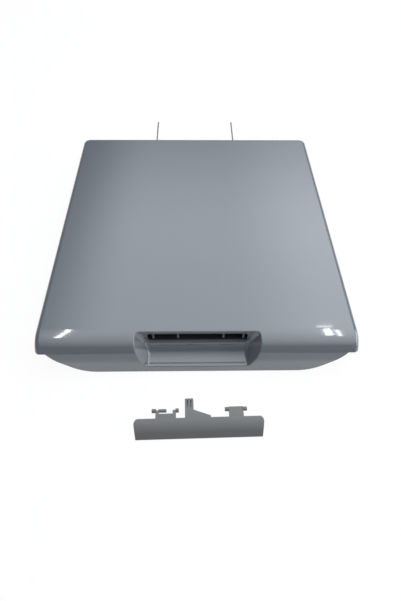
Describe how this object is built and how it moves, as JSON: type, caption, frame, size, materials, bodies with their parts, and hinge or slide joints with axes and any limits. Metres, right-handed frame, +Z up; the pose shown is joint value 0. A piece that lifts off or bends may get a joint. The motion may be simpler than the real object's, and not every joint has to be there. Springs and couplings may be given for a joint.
{
  "type": "washing machine lid",
  "caption": "Moulded lid of a narrow top-loading washing machine: round front edge with a finger scoop, inner panel, swinging hinge wire, and its opening handle lying loose in front.",
  "frame": {"origin": "on the underside of the inner panel's pad, midway between the cover's front and rear faces and on its centre line", "axes": "+Z up through the lid's top, +Y towards the hinge at the rear, +X to the right seen from the front"},
  "size_m": [0.4, 0.6071, 0.053],
  "materials": {
    "cover_plastic": "glossy blue-grey moulded plastic",
    "panel_plastic": "satin charcoal moulded plastic",
    "screw_steel": "zinc-plated",
    "wire_steel": "drawn spring steel, dulled",
    "buffer_rubber": "soft black rubber",
    "handle_plastic": "satin neutral grey moulded plastic"
  },
  "bodies": {
    "lid": {"outer_cover": "cover_plastic", "inner_panel": "panel_plastic", "panel_screws": "screw_steel", "corner_buffer_left": "buffer_rubber", "corner_buffer_right": "buffer_rubber", "opening_handle": "handle_plastic"},
    "hinge": {"hinge_wire": "wire_steel"}
  },
  "joints": [
    {"name": "hinge_swing", "type": "hinge", "parent": "lid", "child": "hinge", "pos_m": [0, 0.2265, 0.042], "axis": [1, 0, 0], "range_deg": [0, 95]}
  ]
}
